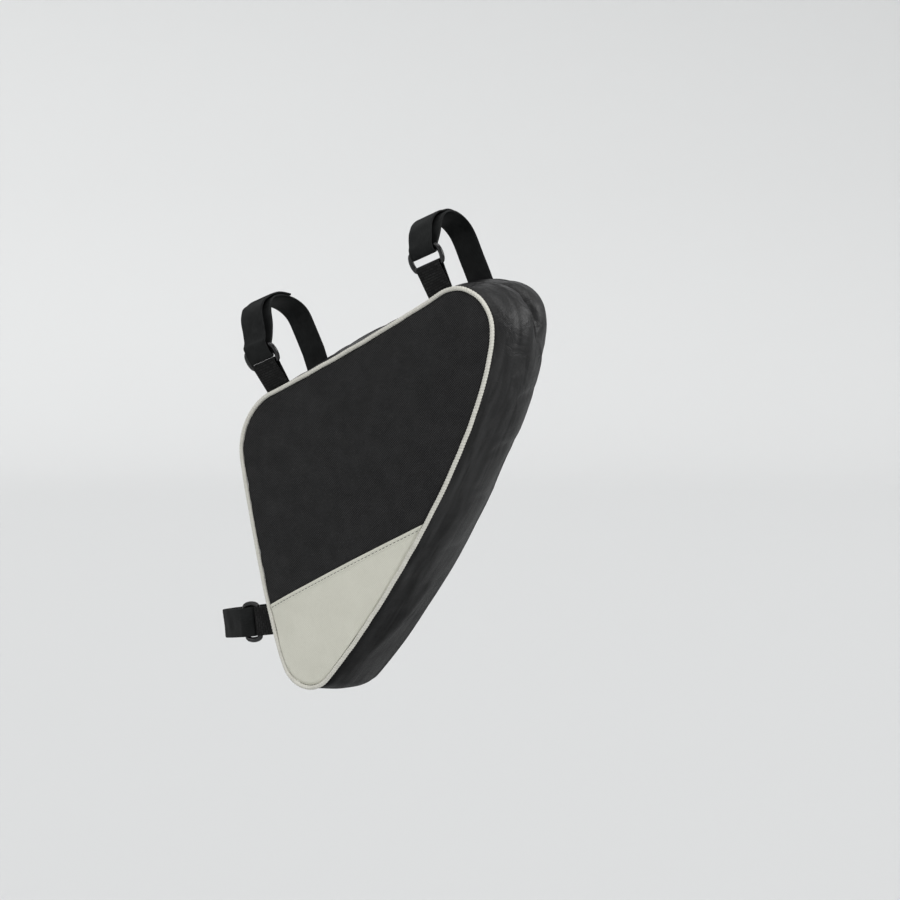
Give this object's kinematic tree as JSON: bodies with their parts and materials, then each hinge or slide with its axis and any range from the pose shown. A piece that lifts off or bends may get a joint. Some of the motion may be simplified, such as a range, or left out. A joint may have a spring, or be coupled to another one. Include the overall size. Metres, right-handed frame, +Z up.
{
  "type": "bicycle frame bag",
  "caption": "Triangular bicycle frame bag with a dark woven side panel above a light one, light piping, a puffed dark gusset, and hook-and-loop straps for the top tube and the seat tube.",
  "frame": {"origin": "a point on the bicycle's top tube axis, half way between the two top straps, in the middle of the bag's depth, where the bag hangs", "axes": "+X toward the front of the bicycle, +Y toward the back panel, away from the camera side, +Z up"},
  "size_m": [0.2635, 0.0716, 0.3309],
  "materials": {
    "dark_panel_cloth": "matt fine-woven polyester",
    "light_panel_cloth": "matt fine-woven polyester",
    "light_piping": "twisted cord, matt",
    "gusset_cloth": "smooth coated polyester with a soft sheen",
    "zip_tape": "woven zip tape, matt",
    "webbing": "woven webbing",
    "strap_fabric": "satin hook-and-loop tape",
    "ring_plastic": "half-gloss moulded plastic"
  },
  "bodies": {
    "root": {"front_panel_upper": "dark_panel_cloth", "front_panel_lower": "light_panel_cloth", "front_piping": "light_piping", "gusset": "gusset_cloth", "back_panel": "dark_panel_cloth", "back_zip": "zip_tape", "rear_top_tab": "webbing", "rear_top_ring": "ring_plastic", "rear_top_strap": "strap_fabric", "front_top_tab": "webbing", "front_top_ring": "ring_plastic", "front_top_strap": "strap_fabric", "seat_tab": "webbing", "seat_ring": "ring_plastic", "seat_strap": "strap_fabric"}
  },
  "joints": []
}
